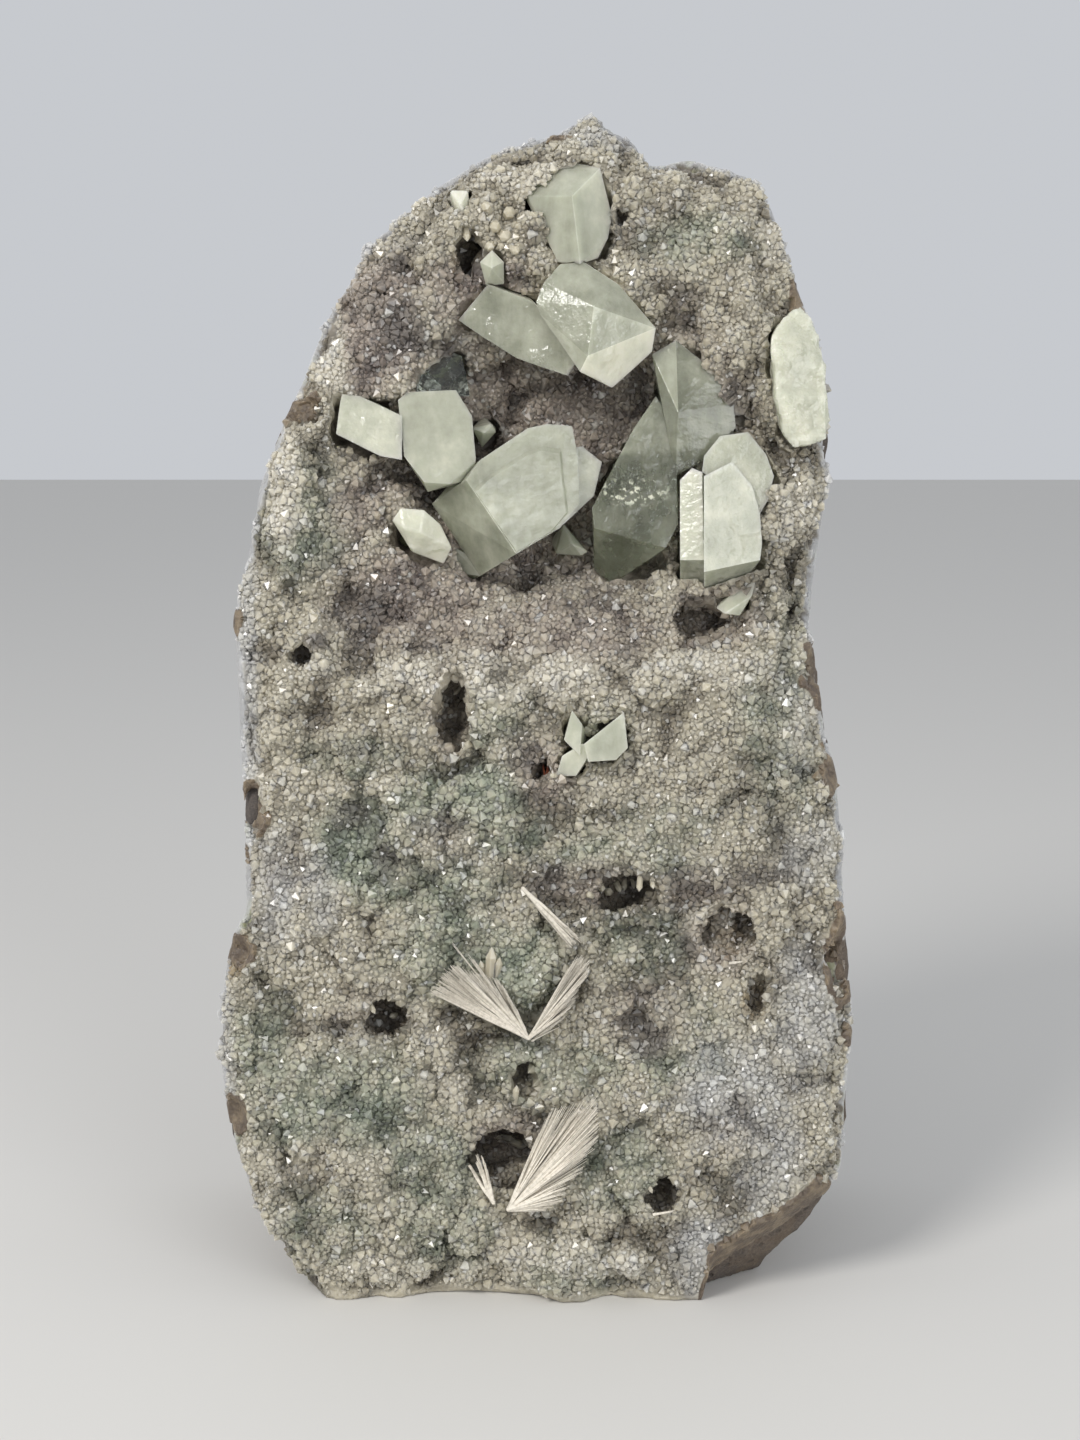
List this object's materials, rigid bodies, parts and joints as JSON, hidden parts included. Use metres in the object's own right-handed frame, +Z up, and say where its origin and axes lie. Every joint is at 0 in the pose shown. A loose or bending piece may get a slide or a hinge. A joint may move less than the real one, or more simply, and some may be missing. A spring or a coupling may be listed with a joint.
{
  "type": "green apophyllite specimen on matrix",
  "caption": "Upright slab of basalt with a druzy quartz crust, blocky pale green apophyllite crystals in its upper hollow and white scolecite needle sprays below.",
  "frame": {"origin": "centre of the bounding box's bottom, on the surface that the specimen stands on", "axes": "+Z up, +X to the right seen from the crystal face, -Y towards the viewer"},
  "size_m": [0.1616, 0.0942, 0.2948],
  "materials": {
    "basalt": "broken brown-grey rock",
    "druzy_quartz": "sugary crystal crust",
    "apophyllite": "pale green, milky to clear, vitreous",
    "scolecite": "silky white needles"
  },
  "bodies": {
    "root": {"basalt_matrix": "basalt", "druzy_quartz_crust": "druzy_quartz", "apophyllite_top_tooth": "apophyllite", "apophyllite_upper_pair": "apophyllite", "apophyllite_left_cluster": "apophyllite", "apophyllite_centre": "apophyllite", "apophyllite_small_left": "apophyllite", "apophyllite_small_tooth": "apophyllite", "apophyllite_glassy_tip": "apophyllite", "apophyllite_blades": "apophyllite", "apophyllite_right_cluster": "apophyllite", "apophyllite_flat_chip": "apophyllite", "apophyllite_right_edge": "apophyllite", "apophyllite_lower_group": "apophyllite", "apophyllite_drop_crystal": "apophyllite", "apophyllite_clear_prism": "apophyllite", "scolecite_upper_spray": "scolecite", "scolecite_crossing_bundle": "scolecite", "scolecite_lower_spray": "scolecite", "scolecite_small_fan": "scolecite"}
  },
  "joints": []
}
